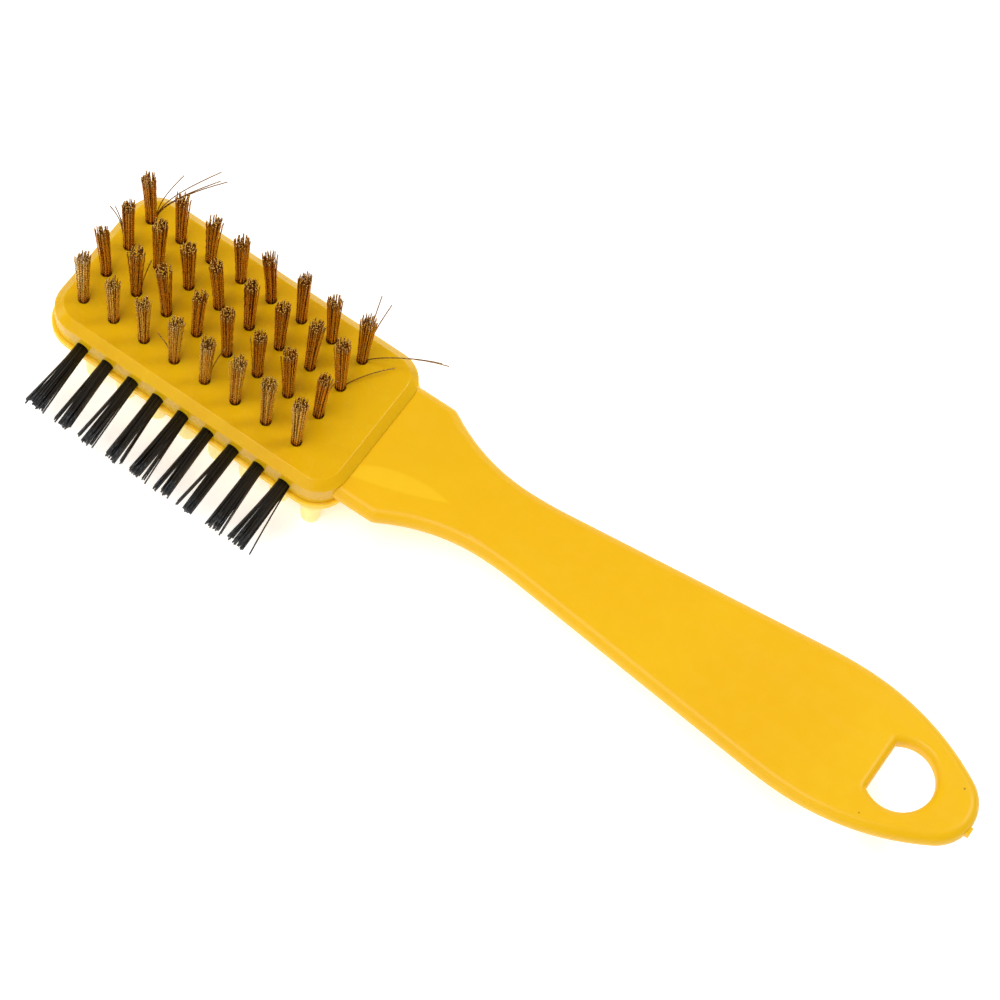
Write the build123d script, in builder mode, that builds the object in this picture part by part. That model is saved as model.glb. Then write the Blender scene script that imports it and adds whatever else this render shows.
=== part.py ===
from build123d import *
import os
from math import asin, atan2, cos, degrees, radians, sin, tan

os.makedirs("parts", exist_ok=True)

# A hand brush in three working faces: brass wire tufts on top of the head,
# a row of nylon tufts along one side, and soft rubber nubs underneath.
# X runs along the handle, Y across the head, Z up through the brass tufts.
# The origin is on the centre line, at the flat end of the nub under the middle of the head.

# Whole brush, mm
overall_length = 189.7

# Nubs: soft round studs in a field, moulded in one piece with the pad
# An inset is the distance from an edge of the block to the middle of the nearest one
nub_columns = 8
nub_rows = 5
nub_tail_inset = 10.65
nub_handle_inset = 4.45
nub_side_inset = 2.25
nub_diameter = 4.1
nub_height = 8.2
nub_draft = 1.5
nub_tip_rounding = 0.9
origin_column = 3
origin_row = 2

# Head: the block, and the pad under it with the same rounded outline and a small ledge
head_length = 63.4
head_width = 32.7
head_corner = 6.0
pad_ledge = 0.6
pad_thickness = 1.7
pad_edge_rounding = 0.5
block_thickness = 6.3
rim_inset = 1.7
rim_drop = 1.5
rim_rounding = 0.35

# Brass tufts, set in blind holes in the top of the block
brass_columns = 8
brass_rows = 4
brass_tail_inset = 4.95
brass_handle_inset = 11.2
brass_side_inset = 6.2
brass_root_diameter = 2.15
brass_tip_diameter = 3.4
brass_height = 16.4
brass_hole_depth = 4.2

# Nylon tufts, set in one row of blind holes in the side wall of the block
# Their tips fan out until a gap is left between neighbours
nylon_count = 9
nylon_inset = 9.3
nylon_root_diameter = 2.6
nylon_tip_gap = 1.2
nylon_length = 14.4
nylon_hole_depth = 4.5
nylon_wall_below = 0.3
nylon_droop = 8.0
nylon_collar = 0.6

# Anchors: flat wires driven across each hole, which pin the folded tuft down
anchor_thickness = 0.35
anchor_height = 1.4
anchor_bite = 0.35
anchor_fold = 0.7

# Handle: a flat blade that rises away from the head, with a tongue inside the block
handle_thickness = 4.2
handle_top_drop = 1.9
handle_rise = 2.3
handle_edge_flat = 0.3
shoulder_width = 26.8
shoulder_length = 7.8
shoulder_rounding = 2.5
neck_width = 15.4
neck_distance = 27.7
flare_blend = 3.9
belly_width = 28.3
belly_from_tip = 29.9
tip_radius = 8.1

# Hang hole: a round hole with one straight side towards the head
hang_radius = 6.4
hang_center_from_tip = 14.9
hang_flat_offset = 3.8
hang_corner_rounding = 0.4
hang_edge_flat = 1.2

# Moulding gate left at the tip of the handle
gate_width = 1.6
gate_height = 1.4
gate_stub = 0.4
gate_offset = -1.3

# Tongue of the handle and the pocket, pegs and clearances that hold it
tongue_length = 8.0
tongue_inset = 6.35
tongue_bury = 1.0
tongue_gap = 0.1
pocket_roof = 2.2
peg_diameter = 4.0
peg_inset = 4.5
peg_gap = 0.1

# Levels, counted up from the surface that the nub ends rest on
pad_bottom = nub_height
block_bottom = pad_bottom + pad_thickness
block_top = block_bottom + block_thickness
pocket_top = block_top - pocket_roof

# Pitches, which follow from the size of the head and the insets
nub_column_pitch = (head_length - nub_tail_inset - nub_handle_inset) / (nub_columns - 1)
nub_row_pitch = (head_width - 2 * nub_side_inset) / (nub_rows - 1)
brass_column_pitch = (head_length - brass_tail_inset - brass_handle_inset) / (brass_columns - 1)
brass_row_pitch = (head_width - 2 * brass_side_inset) / (brass_rows - 1)
nylon_pitch = (head_length - 2 * nylon_inset) / (nylon_count - 1)
nylon_tip_diameter = nylon_pitch - nylon_tip_gap

# Places along the brush
nub_field_x = ((nub_columns - 1) / 2 - origin_column) * nub_column_pitch
nub_field_y = ((nub_rows - 1) / 2 - origin_row) * nub_row_pitch
head_x = nub_field_x - (nub_tail_inset - nub_handle_inset) / 2
head_end = head_x + head_length / 2
near_wall = -head_width / 2
brass_field_x = head_x + (brass_tail_inset - brass_handle_inset) / 2
tongue_width = head_width - 2 * tongue_inset
peg_x = head_end - tongue_length / 2
peg_y = tongue_width / 2 - peg_inset

# The blade lies in its own plane, which starts at the end wall of the head
rise = radians(handle_rise)
handle_top = block_top - handle_top_drop
blade_middle = handle_top - handle_thickness / (2 * cos(rise))
blade_plane = Plane(
    origin=(head_end, 0, blade_middle),
    x_dir=(cos(rise), 0, sin(rise)),
    z_dir=(-sin(rise), 0, cos(rise)),
)
blade_length = (overall_length - head_length - pad_ledge - gate_stub) / cos(rise)

# The blade's edges are rounded from both faces, down to a narrow flat at mid thickness
handle_edge_rounding = (handle_thickness - handle_edge_flat) / 2
hang_rim_rounding = (handle_thickness - hang_edge_flat) / 2

# The nylon holes slope down towards the side wall
droop = radians(nylon_droop)
nylon_level = block_bottom + nylon_wall_below + nylon_root_diameter / (2 * cos(droop))
nylon_out = Vector(0, -cos(droop), -sin(droop))

head_middle = [(head_x, 0)]
peg_places = [(peg_x, peg_y), (peg_x, -peg_y)]


def brass_place(row, column):
    """Return the middle of a brass tuft; rows count from the nylon side."""
    x = brass_field_x + (column - (brass_columns - 1) / 2) * brass_column_pitch
    y = (row - (brass_rows - 1) / 2) * brass_row_pitch
    return x, y


def nylon_plane(number):
    """Return a plane at a nylon hole's mouth, with its Z pointing out along the tuft."""
    x = head_x + (number - (nylon_count - 1) / 2) * nylon_pitch
    return Plane(origin=(x, near_wall, nylon_level), x_dir=(1, 0, 0), z_dir=nylon_out)


def anchor_sketch(plane, root_diameter, hole_depth):
    """Return an anchor's footprint, lying along the plane's X near the bottom of a hole."""
    with BuildSketch(plane.offset(anchor_fold - hole_depth)) as footprint:
        Rectangle(root_diameter + 2 * anchor_bite, anchor_thickness)
    return footprint.sketch


brass_planes = {}
for row in range(brass_rows):
    for column in range(brass_columns):
        x, y = brass_place(row, column)
        brass_planes[f"brass_tuft_r{row + 1}_c{column + 1}"] = Plane.XY.offset(block_top).move(
            Location((x, y, 0))
        )
nylon_planes = {f"nylon_tuft_{n + 1}": nylon_plane(n) for n in range(nylon_count)}


# Nub pad: the soft flange under the block, with all its nubs
with BuildPart() as nub_pad:
    with BuildSketch(Plane.XY.offset(pad_bottom)):
        with Locations(*head_middle):
            RectangleRounded(
                head_length + 2 * pad_ledge, head_width + 2 * pad_ledge, head_corner + pad_ledge
            )
    extrude(amount=pad_thickness)
    fillet(nub_pad.edges().group_by(Axis.Z)[0], pad_edge_rounding)
    with BuildSketch(Plane.XY.offset(pad_bottom)):
        with Locations((nub_field_x, nub_field_y)):
            with GridLocations(nub_column_pitch, nub_row_pitch, nub_columns, nub_rows):
                Circle(nub_diameter / 2)
    extrude(amount=-nub_height, taper=nub_draft)
    fillet(nub_pad.edges().group_by(Axis.Z)[0], nub_tip_rounding)
nub_pad.part.label = "nub_pad"
export_step(nub_pad.part, "parts/nub_pad.step")


# Bristle block: the hard block that holds every tuft and the tongue of the handle
with BuildPart() as bristle_block:
    with BuildSketch(Plane.XY.offset(block_bottom)):
        with Locations(*head_middle):
            RectangleRounded(head_length, head_width, head_corner)
    extrude(amount=block_thickness - rim_drop)
    with BuildSketch(Plane.XY.offset(block_top - rim_drop)):
        with Locations(*head_middle):
            RectangleRounded(head_length, head_width, head_corner)
    with BuildSketch(Plane.XY.offset(block_top)):
        with Locations(*head_middle):
            RectangleRounded(
                head_length - 2 * rim_inset, head_width - 2 * rim_inset, head_corner - rim_inset
            )
    loft(ruled=True)
    rim_edges = bristle_block.edges().filter_by_position(
        Axis.Z, block_top - rim_drop, block_top, (True, True)
    )
    fillet(rim_edges.filter_by(Plane.XY), rim_rounding)
    # Pocket for the tongue, open at the underside and at the end wall
    with BuildSketch(Plane.XY.offset(block_bottom)):
        with Locations((head_end - tongue_length - tongue_gap, 0)):
            Rectangle(
                head_length, tongue_width + 2 * tongue_gap, align=(Align.MIN, Align.CENTER)
            )
    extrude(amount=pocket_top - block_bottom, mode=Mode.SUBTRACT)
    # Pegs that pass through the tongue
    with BuildSketch(Plane.XY.offset(block_bottom)):
        with Locations(*peg_places):
            Circle(peg_diameter / 2)
    extrude(amount=pocket_top - block_bottom)
    # Holes and anchor slots for the brass tufts
    for plane in brass_planes.values():
        with BuildSketch(plane):
            Circle(brass_root_diameter / 2)
        extrude(amount=-brass_hole_depth, mode=Mode.SUBTRACT)
        slot = anchor_sketch(plane, brass_root_diameter, brass_hole_depth)
        extrude(slot, amount=anchor_height, mode=Mode.SUBTRACT)
    # Holes and anchor slots for the nylon tufts
    for plane in nylon_planes.values():
        with BuildSketch(plane.offset(nylon_collar)):
            Circle(nylon_root_diameter / 2)
        extrude(amount=-nylon_hole_depth - nylon_collar, mode=Mode.SUBTRACT)
        slot = anchor_sketch(plane, nylon_root_diameter, nylon_hole_depth)
        extrude(slot, amount=anchor_height, mode=Mode.SUBTRACT)
bristle_block.part.label = "bristle_block"
export_step(bristle_block.part, "parts/bristle_block.step")


# Handle: half of the blade's outline, from the shoulder to the tip, mirrored
shoulder_half = shoulder_width / 2
neck_half = neck_width / 2
belly_half = belly_width / 2
shoulder_rise = shoulder_half - neck_half
shoulder_run = neck_distance - shoulder_length
shoulder_arc = (shoulder_run**2 + shoulder_rise**2) / (2 * shoulder_rise)
shoulder_turn = asin(shoulder_run / shoulder_arc)

# The flare is a straight taper, eased at both ends by arcs that leave it in line
belly_distance = blade_length - belly_from_tip
flare_run = belly_distance - neck_distance
flare_turn = atan2(belly_half - neck_half, flare_run - 2 * flare_blend)
flare_arc = flare_blend / tan(flare_turn / 2)
taper_start = (
    neck_distance + flare_blend * (1 + cos(flare_turn)),
    neck_half + flare_blend * sin(flare_turn),
)
taper_end = (
    belly_distance - flare_blend * (1 + cos(flare_turn)),
    belly_half - flare_blend * sin(flare_turn),
)

# The tail is one arc from the belly that runs smoothly into the tip's arc
tip_run = belly_from_tip - tip_radius
tail_arc = (tip_run**2 + belly_half**2 - tip_radius**2) / (2 * (belly_half - tip_radius))
tail_turn = asin(tip_run / (tail_arc - tip_radius))

with BuildPart() as handle:
    with BuildSketch(blade_plane) as outline:
        with BuildLine():
            Polyline(
                (-head_corner, 0), (-head_corner, shoulder_half), (shoulder_length, shoulder_half)
            )
            shoulder_line = JernArc(
                (shoulder_length, shoulder_half),
                (cos(shoulder_turn), -sin(shoulder_turn)),
                shoulder_arc,
                degrees(shoulder_turn),
            )
            JernArc(shoulder_line @ 1, (1, 0), flare_arc, degrees(flare_turn))
            taper = Line(taper_start, taper_end)
            belly_line = JernArc(taper @ 1, taper % 1, flare_arc, -degrees(flare_turn))
            tail_line = JernArc(belly_line @ 1, (1, 0), tail_arc, -degrees(tail_turn))
            JernArc(tail_line @ 1, tail_line % 1, tip_radius, degrees(tail_turn) - 90)
            mirror(about=Plane.XZ)
        make_face()
        fillet(outline.vertices().group_by(Axis.X)[1], shoulder_rounding)
    extrude(amount=handle_thickness / 2, both=True)
    fillet(handle.faces().filter_by(blade_plane).edges(), handle_edge_rounding)
    # Hang hole
    with BuildSketch(blade_plane.offset(-handle_thickness)) as hang_hole:
        with Locations((blade_length - hang_center_from_tip, 0)):
            Circle(hang_radius)
            with Locations((-hang_flat_offset, 0)):
                Rectangle(
                    hang_radius, 2 * hang_radius, align=(Align.MAX, Align.CENTER), mode=Mode.SUBTRACT
                )
        fillet(hang_hole.vertices().group_by(Axis.X)[0], hang_corner_rounding)
    extrude(amount=2 * handle_thickness, mode=Mode.SUBTRACT)
    hang_rims = [face.inner_wires().edges() for face in handle.faces().filter_by(blade_plane)]
    fillet(hang_rims, hang_rim_rounding)
    # Gate stub at the tip
    with BuildSketch(blade_plane.offset(-gate_height / 2)):
        with Locations((blade_length + gate_stub, gate_offset)):
            Rectangle(tip_radius / 2, gate_width, align=(Align.MAX, Align.CENTER))
    extrude(amount=gate_height)
    # The root is cut to the head's outline, so it sits flush against the end wall
    with BuildSketch(Plane.XY):
        with Locations(*head_middle):
            RectangleRounded(head_length, head_width, head_corner)
    extrude(amount=block_top, mode=Mode.SUBTRACT)
    # and to the pad's outline as far up as the pad's ledge
    with BuildSketch(Plane.XY):
        with Locations(*head_middle):
            RectangleRounded(
                head_length + 2 * pad_ledge, head_width + 2 * pad_ledge, head_corner + pad_ledge
            )
    extrude(amount=block_bottom, mode=Mode.SUBTRACT)
    # Tongue, with a hole for each peg
    with BuildSketch(Plane.XY.offset(block_bottom + tongue_gap)):
        with Locations((head_end - tongue_length, 0)):
            Rectangle(
                tongue_length + tongue_bury, tongue_width, align=(Align.MIN, Align.CENTER)
            )
        with Locations(*peg_places):
            Circle(peg_diameter / 2 + peg_gap, mode=Mode.SUBTRACT)
    extrude(amount=pocket_top - block_bottom - 2 * tongue_gap)
handle.part.label = "handle"
export_step(handle.part, "parts/handle.step")


# Anchors: one flat wire for each tuft, the brass ones and the nylon ones as two groups
with BuildPart() as brass_anchors:
    for plane in brass_planes.values():
        extrude(anchor_sketch(plane, brass_root_diameter, brass_hole_depth), amount=anchor_height)
brass_anchors.part.label = "brass_anchors"
export_step(brass_anchors.part, "parts/brass_anchors.step")

with BuildPart() as nylon_anchors:
    for plane in nylon_planes.values():
        extrude(anchor_sketch(plane, nylon_root_diameter, nylon_hole_depth), amount=anchor_height)
nylon_anchors.part.label = "nylon_anchors"
export_step(nylon_anchors.part, "parts/nylon_anchors.step")


def write_tuft(name, plane, root_diameter, tip_diameter, hole_depth, collar, length):
    """Write one tuft: straight in its hole, flaring to its tip, folded round its anchor."""
    section_plane = Plane(origin=plane.origin, x_dir=plane.x_dir, z_dir=-plane.y_dir)
    with BuildPart() as tuft:
        with BuildSketch(section_plane):
            with BuildLine():
                Polyline(
                    (0, -hole_depth),
                    (root_diameter / 2, -hole_depth),
                    (root_diameter / 2, collar),
                    (tip_diameter / 2, length),
                    (0, length),
                    close=True,
                )
            make_face()
        revolve(axis=Axis(plane.origin, plane.z_dir))
        slot = anchor_sketch(plane, root_diameter, hole_depth)
        extrude(slot, amount=anchor_height, mode=Mode.SUBTRACT)
    tuft.part.label = name
    export_step(tuft.part, f"parts/{name}.step")


for name, plane in brass_planes.items():
    write_tuft(
        name, plane, brass_root_diameter, brass_tip_diameter, brass_hole_depth, 0, brass_height
    )
for name, plane in nylon_planes.items():
    write_tuft(
        name,
        plane,
        nylon_root_diameter,
        nylon_tip_diameter,
        nylon_hole_depth,
        nylon_collar,
        nylon_length,
    )
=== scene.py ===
import math
import random

import bmesh
import bpy
from mathutils import Matrix, Quaternion, Vector


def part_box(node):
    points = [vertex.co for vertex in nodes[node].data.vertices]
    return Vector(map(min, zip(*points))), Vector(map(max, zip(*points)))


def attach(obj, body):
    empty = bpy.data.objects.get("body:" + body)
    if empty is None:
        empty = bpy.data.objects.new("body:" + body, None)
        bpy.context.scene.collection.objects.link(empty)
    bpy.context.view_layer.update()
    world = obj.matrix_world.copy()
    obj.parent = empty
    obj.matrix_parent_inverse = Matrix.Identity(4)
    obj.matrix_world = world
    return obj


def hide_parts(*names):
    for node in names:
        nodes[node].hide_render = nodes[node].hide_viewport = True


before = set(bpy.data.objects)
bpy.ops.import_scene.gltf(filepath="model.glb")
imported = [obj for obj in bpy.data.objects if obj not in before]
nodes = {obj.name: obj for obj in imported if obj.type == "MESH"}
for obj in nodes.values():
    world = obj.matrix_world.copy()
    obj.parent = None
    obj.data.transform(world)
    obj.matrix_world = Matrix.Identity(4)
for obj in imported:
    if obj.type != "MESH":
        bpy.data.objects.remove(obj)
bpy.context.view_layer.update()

print("frame loaded with", len(nodes), "nodes")

millimetre = 0.001
goldenAngle = math.pi * (3 - math.sqrt(5))


class Field:
    # a shader socket that ordinary sums can be written with
    def __init__(self, finish, socket):
        self.finish = finish
        self.socket = socket

    def sum(self, operation, first, second):
        return self.finish.add("ShaderNodeMath", {"operation": operation}, {0: first, 1: second})

    def __add__(self, other):
        return self.sum("ADD", self, other)

    def __sub__(self, other):
        return self.sum("SUBTRACT", self, other)

    def __rsub__(self, other):
        return self.sum("SUBTRACT", other, self)

    def __mul__(self, other):
        return self.sum("MULTIPLY", self, other)

    __radd__ = __add__
    __rmul__ = __mul__

    def sine(self):
        return self.sum("SINE", self, 0)


class Finish:
    # one material, built up node by node
    def __init__(self, name):
        self.material = bpy.data.materials.new(name)
        self.material.use_nodes = True
        self.tree = self.material.node_tree
        self.tree.nodes.clear()
        self.place = self.add("ShaderNodeTexCoord", output="Object")

    def feed(self, socket, value):
        # a value is a number, a colour or another node's socket
        if isinstance(value, Field):
            self.tree.links.new(value.socket, socket)
        else:
            socket.default_value = value

    def add(self, kind, settings=None, values=None, output=0):
        node = self.tree.nodes.new(kind)
        for name, value in (settings or {}).items():
            setattr(node, name, value)
        for name, value in (values or {}).items():
            self.feed(node.inputs[name], value)
        return Field(self, node.outputs[output]) if len(node.outputs) else None

    def noise(self, scale, detail=2.0, roughness=0.5, stretch=None):
        vector = self.place
        if stretch:
            vector = self.add("ShaderNodeMapping", values={"Vector": vector, "Scale": stretch})
        values = {"Vector": vector, "Scale": scale, "Detail": detail, "Roughness": roughness}
        return self.add("ShaderNodeTexNoise", values=values)

    def ramp(self, value, low, high):
        # 0 below low, 1 above high, and smooth between
        values = {"Value": value, "From Min": low, "From Max": high}
        return self.add("ShaderNodeMapRange", {"interpolation_type": "SMOOTHSTEP"}, values)

    def mix(self, share, first, second):
        colours = {6: first, 7: second}     # the colour sockets of a Mix node
        for key, colour in colours.items():
            if not isinstance(colour, Field):
                colours[key] = (*colour, 1.0)
        return self.add("ShaderNodeMix", {"data_type": "RGBA"}, {0: share, **colours}, output=2)

    def specks(self, scale, size, keep):
        # small round specks, in only the share "keep" of the cells
        values = {"Vector": self.place, "Scale": scale}
        near = self.add("ShaderNodeTexVoronoi", values=values, output="Distance")
        cell = self.add("ShaderNodeTexVoronoi", values=values, output="Color")
        lot = self.add("ShaderNodeSeparateColor", values={"Color": cell})
        kept = self.ramp(lot, 1 - keep, 1 - keep + 0.01)
        return (1 - self.ramp(near, size * 0.6, size)) * kept

    def disc(self, centre, radius, softness):
        # 1 inside an upright cylinder, 0 outside
        values = {"Vector": self.place, "Location": (*centre, 0), "Scale": (radius, radius, 1)}
        offset = self.add("ShaderNodeMapping", {"vector_type": "TEXTURE"}, values)
        length = {"operation": "LENGTH"}
        reach = self.add("ShaderNodeVectorMath", length, {0: offset}, output="Value")
        return 1 - self.ramp(reach, 1 - softness / radius, 1)

    def bump(self, height, distance, strength=1.0):
        values = {"Height": height, "Distance": distance, "Strength": strength}
        return self.add("ShaderNodeBump", values=values)

    def shade(self, values, clearBehind=False):
        shader = self.add("ShaderNodeBsdfPrincipled", values=values)
        if clearBehind:
            back = self.add("ShaderNodeNewGeometry", output="Backfacing")
            clear = self.add("ShaderNodeBsdfTransparent")
            shader = self.add("ShaderNodeMixShader", values={0: back, 1: shader, 2: clear})
        self.add("ShaderNodeOutputMaterial", values={"Surface": shader})
        return self.material


handlePaint = {
    "colour": (0.85, 0.49, 0.0015),
    "deepColour": (0.83, 0.455, 0.0015),
    # paleColour is used for the random pale mottle and for the painted reflection beside the neck
    "paleColour": (0.96, 0.61, 0.02),
    "speckColour": (0.12, 0.06, 0.01),
    "clouds": {"scale": 28, "detail": 3},
    "cloudRange": (0.35, 0.7),
    "mottle": {"scale": 420, "detail": 2},
    "mottleRange": (0.4, 0.8),
    "mottleStrength": 0.06,
    # the pale patch beside the neck is a painted reflection of a softbox on the handle's top; it
    # lies between two arcs: each arc's middle, counted from the block's end wall, and its radius,
    # in mm
    "paintedSheenArcs": [((12.5, -25.4), 23.1), ((-21.2, 81.5), 93.4)],
    "paintedSheenSoftness": 0.7 * millimetre,
    "paintedSheenStrength": 0.42,
    "paintedSheenGloss": 0.1,
    # dark grains in the plastic, counted from the tip, and their radii, in mm
    "grains": [((-5.1, 4.3), 0.28), ((-17.8, -10.2), 0.22)],
    "grainSoftness": 0.7,
    "grainStrength": 0.7,
    "scuffs": {"scale": 260, "detail": 3, "roughness": 0.6, "stretch": (0.12, 1.0, 1.0)},
    "scuffRange": (0.45, 0.8),
    "scuffRoughness": 0.12,
    "mottleRoughRange": (0.3, 0.8),
    "mottleRoughness": 0.06,
    "roughness": 0.34,
    "peel": {"scale": 900, "detail": 2},
    "peelShare": 0.6,     # the rest of the bump is scuffs
    "peelDepth": 0.02 * millimetre,
    "peelStrength": 0.3,
    "plastic": {
        "IOR": 1.49,
        "Specular IOR Level": 0.28,
        "Subsurface Weight": 0.12,
        "Subsurface Radius": (1.0, 0.45, 0.05),
        "Subsurface Scale": 0.0015,
    },
}


def handleFinish():
    paint = handlePaint
    finish = Finish("handlePlastic")
    clouds = finish.ramp(finish.noise(**paint["clouds"]), *paint["cloudRange"])
    mottle = finish.noise(**paint["mottle"])
    pale = finish.ramp(mottle, *paint["mottleRange"]) * paint["mottleStrength"]
    colour = finish.mix(clouds, paint["colour"], paint["deepColour"])
    colour = finish.mix(pale, colour, paint["paleColour"])
    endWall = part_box("bristle_block")[1].x
    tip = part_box("handle")[1].x
    # painted reflection: the colour turns pale in a lens beside the neck, which is also a little
    # glossier
    paintedSheen = paint["paintedSheenStrength"]
    for (x, y), radius in paint["paintedSheenArcs"]:
        centre = (endWall + x * millimetre, y * millimetre)
        paintedSheen = finish.disc(centre, radius * millimetre, paint["paintedSheenSoftness"]) * paintedSheen
    colour = finish.mix(paintedSheen, colour, paint["paleColour"])
    for (x, y), size in paint["grains"]:
        centre, radius = (tip + x * millimetre, y * millimetre), size * millimetre
        grain = finish.disc(centre, radius, radius * paint["grainSoftness"])
        colour = finish.mix(grain * paint["grainStrength"], colour, paint["speckColour"])
    scuffs = finish.noise(**paint["scuffs"])
    rough = finish.ramp(scuffs, *paint["scuffRange"]) * paint["scuffRoughness"]
    rough = rough + finish.ramp(mottle, *paint["mottleRoughRange"]) * paint["mottleRoughness"]
    peel = finish.noise(**paint["peel"]) * paint["peelShare"] + scuffs * (1 - paint["peelShare"])
    return finish.shade({
        "Base Color": colour,
        "Roughness": rough - paintedSheen * paint["paintedSheenGloss"] + paint["roughness"],
        "Normal": finish.bump(peel, paint["peelDepth"], paint["peelStrength"]),
        **paint["plastic"],
    })


blockPaint = {
    "colour": (0.78, 0.45, 0.003),
    "deepColour": (0.72, 0.39, 0.002),
    "paleColour": (0.86, 0.56, 0.02),
    "speckColour": (0.12, 0.06, 0.01),
    "clouds": {"scale": 45, "detail": 3},
    "cloudRange": (0.35, 0.75),
    "mottle": {"scale": 380, "detail": 3},
    "mottleRange": (0.4, 0.85),
    "mottleStrength": 0.05,
    "specks": {"scale": 150, "size": 0.04, "keep": 0.1},
    "roughness": 0.22,
    "mottleRoughRange": (0.4, 0.8),
    "mottleRoughness": 0.12,
    "peel": {"scale": 1100, "detail": 2},
    "peelDepth": 0.02 * millimetre,
    "peelStrength": 0.4,
    "plastic": {
        "IOR": 1.49,
        "Specular IOR Level": 0.22,
        "Subsurface Weight": 0.3,
        "Subsurface Radius": (1.0, 0.6, 0.08),
        "Subsurface Scale": 0.003,
    },
}


def blockFinish():
    paint = blockPaint
    finish = Finish("blockPlastic")
    clouds = finish.ramp(finish.noise(**paint["clouds"]), *paint["cloudRange"])
    mottle = finish.noise(**paint["mottle"])
    pale = finish.ramp(mottle, *paint["mottleRange"]) * paint["mottleStrength"]
    colour = finish.mix(clouds, paint["colour"], paint["deepColour"])
    colour = finish.mix(pale, colour, paint["paleColour"])
    colour = finish.mix(finish.specks(**paint["specks"]), colour, paint["speckColour"])
    rough = finish.ramp(mottle, *paint["mottleRoughRange"]) * paint["mottleRoughness"]
    peel = finish.noise(**paint["peel"])
    return finish.shade({
        "Base Color": colour,
        "Roughness": rough + paint["roughness"],
        "Normal": finish.bump(peel, paint["peelDepth"], paint["peelStrength"]),
        **paint["plastic"],
    })


nubPaint = {
    "flangeColour": (0.93, 0.50, 0.02),
    "nubColour": (1.0, 0.79, 0.30),
    "tipColour": (1.0, 0.82, 0.38),
    "tipEnd": 0.4,     # heights, as shares of the block's underside
    "flangeRange": (0.55, 0.87),
    "clouds": {"scale": 240, "detail": 3},
    "cloudRange": (0.5, 0.8),
    "cloudStrength": 0.15,
    "roughness": 0.36,
    "cloudRoughRange": (0.3, 0.8),
    "cloudRoughness": 0.15,
    "peel": {"scale": 1300, "detail": 2},
    "peelDepth": 0.02 * millimetre,
    "peelStrength": 0.4,
    "rubber": {
        "IOR": 1.45,
        "Subsurface Weight": 0.8,
        "Subsurface Radius": (1.0, 0.8, 0.3),
        "Subsurface Scale": 0.004,
        "Emission Strength": 0.08,     # a painted glow: the whole pad gives off light in its own colour, in place of light coming through the soft nubs
    },
}


def nubFinish():
    paint = nubPaint
    finish = Finish("nubRubber")
    level = finish.add("ShaderNodeSeparateXYZ", values={"Vector": finish.place}, output="Z")
    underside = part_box("bristle_block")[0].z
    flangeLow, flangeHigh = (share * underside for share in paint["flangeRange"])
    rise = finish.ramp(level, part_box("nub_pad")[0].z, underside * paint["tipEnd"])
    colour = finish.mix(rise, paint["tipColour"], paint["nubColour"])
    colour = finish.mix(finish.ramp(level, flangeLow, flangeHigh), colour, paint["flangeColour"])
    clouds = finish.noise(**paint["clouds"])
    cloudy = finish.ramp(clouds, *paint["cloudRange"]) * paint["cloudStrength"]
    colour = finish.mix(cloudy, colour, paint["tipColour"])
    rough = finish.ramp(clouds, *paint["cloudRoughRange"]) * paint["cloudRoughness"]
    peel = finish.noise(**paint["peel"])
    return finish.shade({
        "Base Color": colour,
        "Roughness": rough + paint["roughness"],
        "Normal": finish.bump(peel, paint["peelDepth"], paint["peelStrength"]),
        # painted glow, in the pad's own colour
        "Emission Color": colour,
        **paint["rubber"],
    })


brassPaint = {
    "rootColour": (0.88, 0.38, 0.04),
    "colour": (0.82, 0.38, 0.035),
    # paleColour is used for random pale wires, for the painted reflection on the outer row and for
    # the painted glint on the crimp
    "paleColour": (0.98, 0.78, 0.31),
    "tarnishColour": (0.38, 0.19, 0.04),
    "looseColour": (0.36, 0.20, 0.07),
    "paleRange": (0.2, 1.0),     # tones from which a wire turns pale: random on every row, and on the outer row a painted reflection
    "looseRange": (-1.0, 0.0),
    "rootRange": (0.2, 0.4),     # shares of a wire's length
    "endRange": (0.88, 0.96),
    "endStrength": 0.8,
    "beadLength": 0.96 * millimetre,     # one full wave of the fine crimp
    "beadDepth": 0.07 * millimetre,
    # a painted glint: pale colour painted on the crests of the fine crimp
    "paintedGlintRange": (0.2, 1.0),
    "paintedGlintStrength": 0.2,
    "paintedGlintGain": 0.4,     # more on pale wires
    "tarnish": {"scale": 700, "detail": 3, "roughness": 0.6},
    "tarnishRange": (0.55, 0.8),
    "tarnishStrength": 0.5,
    "roughness": 0.18,
    "tarnishRoughRange": (0.3, 0.8),
    "tarnishRoughness": 0.16,
    "metalRange": (0.2, 0.5),
    "rootMetal": 0.8,
    "metalGain": 0.14,
}


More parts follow.
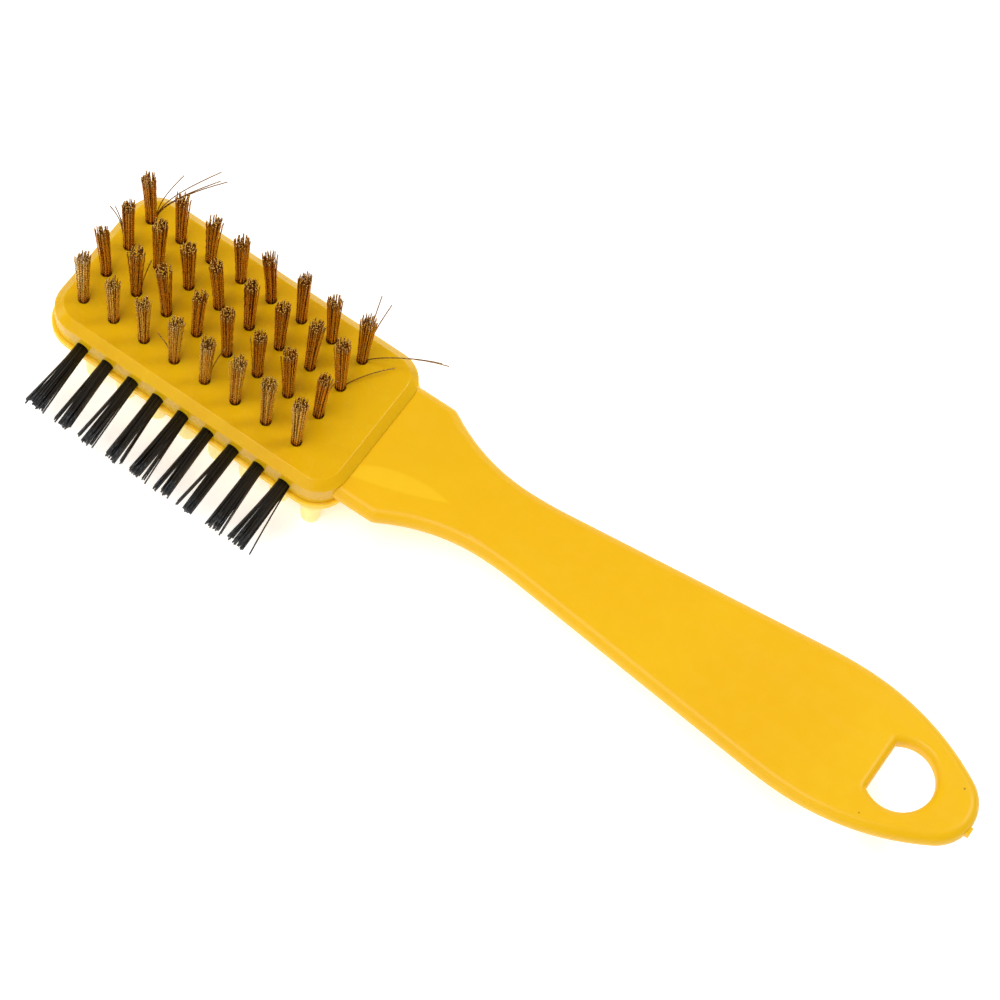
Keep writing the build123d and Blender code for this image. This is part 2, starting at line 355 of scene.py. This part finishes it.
def brassFinish():
    paint = brassPaint
    finish = Finish("brassWire")
    along = finish.add("ShaderNodeAttribute", {"attribute_name": "along"}, output="Fac")
    tone = finish.add("ShaderNodeAttribute", {"attribute_name": "tone"}, output="Fac")
    tarnish = finish.noise(**paint["tarnish"])
    low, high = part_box("brass_tuft_r1_c1")
    beads = (along * (math.tau * (high.z - low.z) / paint["beadLength"])).sine()
    # painted glint: the crimp's crests are painted pale, more so on pale wires
    paintedGlint = tone * paint["paintedGlintGain"] + paint["paintedGlintStrength"]
    paintedGlint = finish.ramp(beads, *paint["paintedGlintRange"]) * paintedGlint
    root = 1 - finish.ramp(along, *paint["rootRange"])
    stain = finish.ramp(tarnish, *paint["tarnishRange"]) * paint["tarnishStrength"]
    end = finish.ramp(along, *paint["endRange"]) * paint["endStrength"]
    loose = 1 - finish.ramp(tone, *paint["looseRange"])
    # pale wires: random tone, and on the outer row a painted reflection of the pale near side
    pale = finish.ramp(tone, *paint["paleRange"])
    colour = finish.mix(pale, paint["colour"], paint["paleColour"])
    colour = finish.mix(paintedGlint, colour, paint["paleColour"])
    colour = finish.mix(root, colour, paint["rootColour"])
    colour = finish.mix(stain, colour, paint["tarnishColour"])
    colour = finish.mix(end, colour, paint["tarnishColour"])
    colour = finish.mix(loose, colour, paint["looseColour"])
    rough = finish.ramp(tarnish, *paint["tarnishRoughRange"]) * paint["tarnishRoughness"]
    metal = finish.ramp(along, *paint["metalRange"]) * paint["metalGain"]
    return finish.shade({
        "Base Color": colour,
        "Roughness": rough + paint["roughness"],
        "Normal": finish.bump(beads, paint["beadDepth"]),
        "Metallic": metal + paint["rootMetal"],
    })


nylonPaint = {
    "colour": (0.003, 0.003, 0.0034),
    "paleColour": (0.010, 0.0095, 0.010),
    "endColour": (0.022, 0.021, 0.021),
    "endRange": (0.985, 1.0),     # shares of a filament's length
    "dust": {"scale": 700, "detail": 3, "roughness": 0.6},
    "dustRange": (0.6, 0.85),
    "dustStrength": 0.2,
    "roughness": 0.27,
    "dustRoughRange": (0.3, 0.8),
    "dustRoughness": 0.15,
    "IOR": 1.53,
}


def nylonFinish():
    paint = nylonPaint
    finish = Finish("nylonFilament")
    along = finish.add("ShaderNodeAttribute", {"attribute_name": "along"}, output="Fac")
    tone = finish.add("ShaderNodeAttribute", {"attribute_name": "tone"}, output="Fac")
    dust = finish.noise(**paint["dust"])
    dusty = finish.ramp(dust, *paint["dustRange"]) * paint["dustStrength"]
    colour = finish.mix(tone, paint["colour"], paint["paleColour"])
    colour = finish.mix(finish.ramp(along, *paint["endRange"]), colour, paint["endColour"])
    colour = finish.mix(dusty, colour, paint["endColour"])
    rough = finish.ramp(dust, *paint["dustRoughRange"]) * paint["dustRoughness"]
    return finish.shade({
        "Base Color": colour,
        "Roughness": rough + paint["roughness"],
        "IOR": paint["IOR"],
    })


steelPaint = {
    "colour": (0.50, 0.49, 0.47),
    "darkColour": (0.30, 0.29, 0.28),
    "grain": {"scale": 2400, "detail": 3, "roughness": 0.6, "stretch": (0.1, 1.0, 1.0)},
    "grainRange": (0.35, 0.7),
    "roughness": 0.3,
    "grainRoughRange": (0.3, 0.8),
    "grainRoughness": 0.2,
}


def steelFinish():
    paint = steelPaint
    finish = Finish("anchorSteel")
    grain = finish.noise(**paint["grain"])
    streaks = finish.ramp(grain, *paint["grainRange"])
    rough = finish.ramp(grain, *paint["grainRoughRange"]) * paint["grainRoughness"]
    return finish.shade({
        "Base Color": finish.mix(streaks, paint["colour"], paint["darkColour"]),
        "Roughness": rough + paint["roughness"],
        "Metallic": 1.0,
    })


finishes = {
    "handle": handleFinish(),
    "block": blockFinish(),
    "nubs": nubFinish(),
    "brass_wire": brassFinish(),
    "nylon": nylonFinish(),
    "anchors": steelFinish(),
}
print("finishes made:", len(finishes))


def dress(piece, slot):
    piece.data.materials.clear()
    piece.data.materials.append(finishes[slot])


def straightStrand(sides, radius, stations):
    # a capped round strand along Z, with a ring at each station
    mould = bmesh.new()
    bmesh.ops.create_circle(mould, cap_ends=True, segments=sides, radius=radius)
    bmesh.ops.translate(mould, verts=mould.verts[:], vec=(0, 0, stations[0]))
    end = mould.faces[:]
    for low, high in zip(stations, stations[1:]):
        grown = bmesh.ops.extrude_face_region(mould, geom=end)["geom"]
        end = [part for part in grown if isinstance(part, bmesh.types.BMFace)]
        ring = [part for part in grown if isinstance(part, bmesh.types.BMVert)]
        bmesh.ops.translate(mould, verts=ring, vec=(0, 0, high - low))
    mould.verts.index_update()
    # extruding leaves the faces in no fixed order, so they are put in order by their corners
    mould.faces.sort(key=lambda face: sum(2.0 ** corner.index for corner in face.verts))
    bmesh.ops.recalc_face_normals(mould, faces=mould.faces[:])
    for face in mould.faces:
        face.smooth = len(face.verts) == 4
    mesh = bpy.data.meshes.new("strandMould")
    mould.to_mesh(mesh)
    mould.free()
    return mesh


pathStep = 0.004     # how far either side a path's direction is read, a share of its length


def layStrand(bundle, mould, path, turn, tone):
    # adds one strand to a bundle and bends it along the path
    known = len(bundle.verts)
    bundle.from_mesh(mould)
    bundle.verts.ensure_lookup_table()
    along = bundle.verts.layers.float["along"]
    tones = bundle.verts.layers.float["tone"]
    top = max(vertex.co.z for vertex in mould.vertices)
    rings = {}
    for vertex in bundle.verts[known:]:
        station = vertex.co.z
        if station not in rings:
            ahead = path(station + pathStep * top) - path(station - pathStep * top)
            rings[station] = (path(station), Vector((0, 0, 1)).rotation_difference(ahead))
        middle, lean = rings[station]
        offset = Quaternion((0, 0, 1), turn) @ Vector((vertex.co.x, vertex.co.y, 0))
        vertex[along] = station / top
        vertex[tones] = tone
        vertex.co = middle + lean @ offset


rimDepth = 0.05 * millimetre     # points this near the furthest one make a tuft's rim


def tuftShape(node, outward, anchors, wall):
    # measures a tuft's solid: its frame at the hole's bottom, and its sizes along it
    points = [vertex.co for vertex in nodes[node].data.vertices]
    middle = (Vector(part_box(node)[0]) + Vector(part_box(node)[1])) / 2

    def centre(group):
        low = Vector([min(point[axis] for point in group) for axis in range(3)])
        high = Vector([max(point[axis] for point in group) for axis in range(3)])
        return (low + high) / 2

    def rim(group, origin):
        furthest = max((point - origin).length for point in group)
        return [point for point in group if (point - origin).length > furthest - rimDepth]

    outer = [point for point in points if (point - middle).dot(outward) > 0]
    inner = [point for point in points if (point - middle).dot(outward) <= 0]
    tipRim = rim(outer, centre(inner))
    rootRim = rim(inner, centre(tipRim))
    tip, root = centre(tipRim), centre(rootRim)
    axis = (tip - root).normalized()
    side = Vector((1, 0, 0))
    across = axis.cross(side)
    place = Matrix((side, across, axis)).transposed().to_4x4()
    place.translation = root
    return {
        "place": place,
        "length": (tip - root).length,
        "rootRadius": max(abs(point.x - root.x) for point in rootRim),
        "tipRadius": max(abs(point.x - tip.x) for point in tipRim),
        "mouth": (wall - root.dot(outward)) / axis.dot(outward),
        "anchorEnd": (anchors - root.dot(outward)) / axis.dot(outward),
    }


def smoothStep(value):
    value = min(max(value, 0.0), 1.0)
    return value * value * (3 - 2 * value)


def sprout(number, count, radius):
    # even places over a round hole
    spread = radius * math.sqrt((number + 0.5) / count)
    return Vector((math.cos(number * goldenAngle), math.sin(number * goldenAngle))) * spread


def scatter(rng, reach):
    return Vector((rng.gauss(0, 1), rng.gauss(0, 1))) * reach


def partRound(start, plate):
    # where a strand passes the anchor
    return Vector((start.x, math.copysign(max(abs(start.y), plate), start.y)))


def inHole(shape, station, parted, start):
    # straight past the anchor, then across to the strand's place in the mouth
    share = smoothStep((station - shape["anchorEnd"]) / (shape["mouth"] - shape["anchorEnd"]))
    flat = parted.lerp(start, share)
    return Vector((flat.x, flat.y, station))


def newBundle():
    bundle = bmesh.new()
    bundle.verts.layers.float.new("along")
    bundle.verts.layers.float.new("tone")
    return bundle


def finishTuft(bundle, shape, name, node, slot):
    bmesh.ops.transform(bundle, matrix=shape["place"], verts=bundle.verts[:])
    mesh = bpy.data.meshes.new(name)
    bundle.to_mesh(mesh)
    bundle.free()
    piece = bpy.data.objects.new(name, mesh)
    bpy.context.scene.collection.objects.link(piece)
    dress(piece, slot)
    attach(piece, "root")
    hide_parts(node)


brassWires = {
    "count": 34,
    "diameter": 0.28 * millimetre,
    "sides": 4,
    "looseDiameter": 0.22 * millimetre,
    "looseSides": 6,
    "anchorThickness": 0.35 * millimetre,     # the wires part round the anchor
    "crimpLength": 1.6 * millimetre,     # from one bend of the crimp to the next
    "crimpDepth": 0.05 * millimetre,
    "crimpScale": (0.6, 1.2),
    "crimpStart": 0.1,     # the share of the length over which the crimp sets in
    "tuftTurn": 0.25,     # how the crimp's direction varies, by tuft and by wire
    "wireTurn": 0.35,
    "uneven": (0.015, 0.085),     # shares of the length that the ends are uneven by
    "fray": 0.145 * millimetre,
    "lean": 0.32 * millimetre,
    "flare": (0.86, 1.06),     # the tip's spread against the solid's own
    "flareCurve": 1.35,
    "heightSpread": 0.03,
    "tones": {1: (0.35, 1.0)},     # the wires of the outer row are paler: a painted reflection of the pale near side
    "otherTones": (0.0, 0.55),
    "looseTone": -1.0,
    "archPlace": 0.45,     # where the bow of a loose wire is, between bend and tip
    "seed": 7,
}

# Wires that have come loose: row and column of the tuft, then for each wire how far
# above the block it leaves the tuft, where its tip is from the tuft's mouth, and how
# far its middle bows upwards, all in mm
looseWires = {
    (4, 1): [
        (6.0, (4.7, 3.3, 16.8), 0.3),
        (6.0, (9.6, 7.9, 16.9), 0.6),
        (5.2, (11.5, 7.2, 16.4), 1.2),
        (5.4, (10.2, 6.9, 15.7), 0.4),
    ],
    (3, 1): [(9.0, (-2.7, -1.9, 14.8), 0.0), (8.0, (-2.2, -1.0, 13.8), 0.0)],
    (4, 8): [
        (0.7, (12.5, 7.1, 2.2), 2.6),
        (0.9, (13.9, 7.3, 2.4), 3.4),
        (6.0, (-0.7, 5.5, 15.8), 0.0),
        (7.0, (1.5, 5.5, 14.8), 0.0),
    ],
    (3, 8): [(0.8, (6.0, 8.3, 1.4), 1.6)],
    (2, 8): [(9.5, (2.3, 1.3, 14.2), 0.0)],
    (1, 4): [(3.6, (-3.8, 0.1, 5.8), 0.0)],
    (1, 5): [(5.0, (2.9, 1.6, 13.4), 0.2)],
    (2, 2): [(4.5, (2.6, 1.0, 13.8), 0.0)],
}


def brassTuft(row, column):
    node = f"brass_tuft_r{row}_c{column}"
    settings = brassWires
    rng = random.Random(f"{settings['seed']} {row} {column}")
    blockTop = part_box("bristle_block")[1].z
    shape = tuftShape(node, Vector((0, 0, 1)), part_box("brass_anchors")[1].z, blockTop)
    radius = settings["diameter"] / 2
    mouth = shape["mouth"]
    free = shape["length"] - mouth
    bends = round(free / settings["crimpLength"])
    pitch = free / bends
    stations = [0, shape["anchorEnd"]] + [mouth + pitch * bend for bend in range(bends + 1)]
    mould = straightStrand(settings["sides"], radius, stations)
    looseMould = straightStrand(settings["looseSides"], settings["looseDiameter"] / 2, stations)
    plate = settings["anchorThickness"] / 2 + radius
    bundle = newBundle()
    uneven = rng.uniform(*settings["uneven"])
    lean = scatter(rng, settings["lean"])
    height = 1 - abs(rng.gauss(0, settings["heightSpread"]))
    crimpTurn = math.pi / 2 + rng.gauss(0, settings["tuftTurn"])
    # the outer row's high tones paint a reflection of the pale near side onto its wires
    tones = settings["tones"].get(row, settings["otherTones"])
    spread = rng.uniform(*settings["flare"]) * shape["tipRadius"] / shape["rootRadius"]
    for number in range(settings["count"]):
        start = sprout(number, settings["count"], shape["rootRadius"] - radius)
        parted = partRound(start, plate)
        end = start * spread + scatter(rng, settings["fray"]) + lean
        turn = crimpTurn + rng.gauss(0, settings["wireTurn"])
        depth = settings["crimpDepth"] * rng.uniform(*settings["crimpScale"])
        crimp = Vector((math.cos(turn), math.sin(turn))) * depth
        reach = height * (1 - rng.random() * uneven) * free

        def path(station, start=start, parted=parted, end=end, crimp=crimp, reach=reach):
            if station < mouth:
                return inHole(shape, station, parted, start)
            share = (station - mouth) / free
            onset = min(share / settings["crimpStart"], 1)
            wave = math.cos(math.pi * (station - mouth) / pitch) * onset
            flat = start.lerp(end, share ** settings["flareCurve"]) + crimp * wave
            return Vector((flat.x, flat.y, mouth + share * reach))

        layStrand(bundle, mould, path, rng.uniform(0, math.tau), rng.uniform(*tones))
    for leave, tip, bow in looseWires.get((row, column), []):
        tip = Vector(tip) * millimetre
        leave = leave * millimetre
        angle = math.atan2(tip.y, tip.x)
        edge = Vector((math.cos(angle), math.sin(angle), 0)) * (shape["rootRadius"] - radius)
        base = Vector((0, 0, mouth))
        bend = base + edge + Vector((0, 0, leave))
        arch = bend.lerp(base + tip, settings["archPlace"]) + Vector((0, 0, bow * millimetre))
        guides = [base + edge, bend, arch, base + tip]

        def path(station, guides=guides, edge=edge):
            if station < mouth:
                return Vector((edge.x, edge.y, station))
            share = (station - mouth) / free
            rest = 1 - share
            weights = (rest ** 3, 3 * rest ** 2 * share, 3 * rest * share ** 2, share ** 3)
            return sum((guide * weight for guide, weight in zip(guides, weights)), Vector())

        layStrand(bundle, looseMould, path, rng.uniform(0, math.tau), settings["looseTone"])
    finishTuft(bundle, shape, f"brassWires.r{row}.c{column}", node, "brass_wire")
    for spare in (mould, looseMould):
        bpy.data.meshes.remove(spare)


nylonFilaments = {
    "count": 40,
    "diameter": 0.31 * millimetre,
    "sides": 6,
    "rings": 5,
    "anchorThickness": 0.35 * millimetre,
    "lengths": (0.95, 1.01),     # shares of the tuft's length
    "bundleLengths": (0.97, 1.0),
    "fray": 0.12 * millimetre,
    "lean": 0.35 * millimetre,
    "alongLean": 0.5,     # less along the row than across it
    "gather": 0.95,
    "mixing": 0.3,     # how far filaments of one bundle stray among the next
    "flareCurve": 1.25,
    "looseCurve": 1.2,
    "looseTone": 0.5,
    "seed": 11,
}

# How each nylon tuft parts: for each bundle, how far its tip lies along the row
# from the tuft's middle, in mm, and its share of the filaments
nylonBundles = {
    1: [(-1.8, 0.08), (-0.2, 0.70), (1.5, 0.22)],
    2: [(-1.7, 0.09), (0.3, 0.91)],
    3: [(-1.5, 0.18), (0.2, 0.72), (1.6, 0.10)],
    4: [(-0.9, 0.40), (0.5, 0.48), (1.7, 0.12)],
    5: [(-0.5, 0.60), (0.5, 0.32), (1.8, 0.08)],
    6: [(-1.6, 0.24), (0.4, 0.76)],
    7: [(-2.0, 0.10), (0.2, 0.90)],
    8: [(-1.0, 0.40), (0.5, 0.50), (1.7, 0.10)],
    9: [(-1.7, 0.16), (-0.4, 0.34), (0.9, 0.50)],
}
# Single filaments that stand off: how far along the row and down, in mm
looseFilaments = {9: [(2.9, 0.4)], 1: [(-2.1, -0.3)], 5: [(2.2, 0.2)]}


def nylonTuft(number):
    node = f"nylon_tuft_{number}"
    settings = nylonFilaments
    rng = random.Random(f"{settings['seed']} {number}")
    wall = -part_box("bristle_block")[0].y
    shape = tuftShape(node, Vector((0, -1, 0)), -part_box("nylon_anchors")[0].y, wall)
    radius = settings["diameter"] / 2
    mouth = shape["mouth"]
    free = shape["length"] - mouth
    rings = settings["rings"]
    stations = [0, shape["anchorEnd"]] + [mouth + free * ring / rings for ring in range(rings + 1)]
    mould = straightStrand(settings["sides"], radius, stations)
    plate = settings["anchorThickness"] / 2 + radius
    bundle = newBundle()
    lean = scatter(rng, settings["lean"])
    lean.x *= settings["alongLean"]
    count = settings["count"]
    starts = [sprout(place, count, shape["rootRadius"] - radius) for place in range(count)]
    starts.sort(key=lambda start: start.x + settings["mixing"] * rng.gauss(0, 1) * radius)
    first = 0
    for sideways, share in nylonBundles[number]:
        members = starts[round(first * len(starts)):round((first + share) * len(starts))]
        first += share
        middle = sum(members, Vector((0, 0))) / len(members)
        target = Vector((sideways * millimetre, 0)) + lean
        length = rng.uniform(*settings["bundleLengths"])
        for start in members:
            parted = partRound(start, plate)
            fray = scatter(rng, settings["fray"])
            end = target + (start - middle) * settings["gather"] + fray
            reach = free * length * rng.uniform(*settings["lengths"])

            def path(station, start=start, parted=parted, end=end, reach=reach):
                if station < mouth:
                    return inHole(shape, station, parted, start)
                share = (station - mouth) / free
                flat = start.lerp(end, share ** settings["flareCurve"])
                return Vector((flat.x, flat.y, mouth + share * reach))

            layStrand(bundle, mould, path, rng.uniform(0, math.tau), rng.random())
    for sideways, down in looseFilaments.get(number, []):
        start = Vector((math.copysign(shape["rootRadius"] - radius, sideways), 0))
        end = Vector((sideways, down)) * millimetre

        def path(station, start=start, end=end):
            share = max(station - mouth, 0) / free
            flat = start.lerp(end, share ** settings["looseCurve"])
            return Vector((flat.x, flat.y, station))

        layStrand(bundle, mould, path, 0.0, settings["looseTone"])
    finishTuft(bundle, shape, f"nylonFilaments.{number}", node, "nylon")
    bpy.data.meshes.remove(mould)


brassNames = sorted(name for name in nodes if name.startswith("brass_tuft_"))
for name in brassNames:
    row, column = (int(part[1:]) for part in name.split("_")[2:])
    brassTuft(row, column)
print("brass tufts made:", len(brassNames))

nylonNames = sorted(name for name in nodes if name.startswith("nylon_tuft_"))
for name in nylonNames:
    nylonTuft(int(name.split("_")[2]))
print("nylon tufts made:", len(nylonNames))

solidSlots = {
    "handle": "handle",
    "bristle_block": "block",
    "nub_pad": "nubs",
    "brass_anchors": "anchors",
    "nylon_anchors": "anchors",
}
for name, slot in solidSlots.items():
    dress(nodes[name], slot)
print("solid pieces finished")


studio = {
    "floorSize": 3.0,
    "floorColour": (0.95, 0.95, 0.95),
    "grainColour": (1.0, 1.0, 1.0),
    "grain": {"scale": 30, "detail": 2},
    "grainStrength": 0.03,
    "floorRoughness": 0.9,
    "floorGlow": 0.40,
    "world": 0.28,
    "lamps": [  # place, aim, size and watts
        ((-0.06, -0.32, 0.78), (0.04, 0.0, 0.0), 0.42, 3.3),
        ((0.44, 0.42, 0.72), (0.04, 0.0, 0.0), 0.26, 2.9),
        ((-0.10, 0.80, 0.42), (0.05, 0.0, 0.0), 0.50, 1.6),
        ((-0.70, -0.30, 0.35), (0.0, 0.0, 0.0), 0.40, 1.4),
        ((0.00, -0.90, 0.30), (0.05, 0.0, 0.0), 0.60, 1.5),
    ],
}


def makeStudio():
    base = bmesh.new()
    bmesh.ops.create_grid(base, x_segments=1, y_segments=1, size=studio["floorSize"] / 2)
    mesh = bpy.data.meshes.new("floor")
    base.to_mesh(mesh)
    base.free()
    floor = bpy.data.objects.new("floor", mesh)
    bpy.context.scene.collection.objects.link(floor)
    finish = Finish("floorPaper")
    grain = finish.noise(**studio["grain"]) * studio["grainStrength"]
    paper = {
        "Base Color": finish.mix(grain, studio["floorColour"], studio["grainColour"]),
        "Roughness": studio["floorRoughness"],
        "Emission Color": (1, 1, 1, 1),
        "Emission Strength": studio["floorGlow"],
    }
    floor.data.materials.append(finish.shade(paper, clearBehind=True))     # clear from below
    world = bpy.data.worlds.new("studio")
    world.use_nodes = True
    background = world.node_tree.nodes["Background"]
    background.inputs["Color"].default_value = (1, 1, 1, 1)
    background.inputs["Strength"].default_value = studio["world"]
    bpy.context.scene.world = world
    for number, (place, aim, size, watts) in enumerate(studio["lamps"]):
        lamp = bpy.data.lights.new(f"softbox{number}", "AREA")
        lamp.size = size
        lamp.energy = watts
        holder = bpy.data.objects.new(f"softbox{number}", lamp)
        holder.location = place
        holder.rotation_mode = "QUATERNION"
        holder.rotation_quaternion = (Vector(aim) - Vector(place)).to_track_quat("-Z", "Y")
        bpy.context.scene.collection.objects.link(holder)


camera = {
    "place": (0.1528, -0.2333, 0.5745),
    "aim": (0.05615, 0.00318, 0.014),
    "roll": 13.29,      # degrees, anticlockwise
    "lens": 124.06,
    "sensor": 36.0,
}


def makeCamera():
    data = bpy.data.cameras.new("camera")
    data.lens = camera["lens"]
    data.sensor_width = camera["sensor"]
    holder = bpy.data.objects.new("camera", data)
    look = (Vector(camera["aim"]) - Vector(camera["place"])).to_track_quat("-Z", "Y")
    holder.rotation_mode = "QUATERNION"
    holder.rotation_quaternion = look @ Quaternion((0, 0, 1), math.radians(camera["roll"]))
    holder.location = camera["place"]
    bpy.context.scene.collection.objects.link(holder)
    bpy.context.scene.camera = holder


makeStudio()
makeCamera()
bpy.context.scene.view_settings.view_transform = "Standard"
print("studio and camera placed")
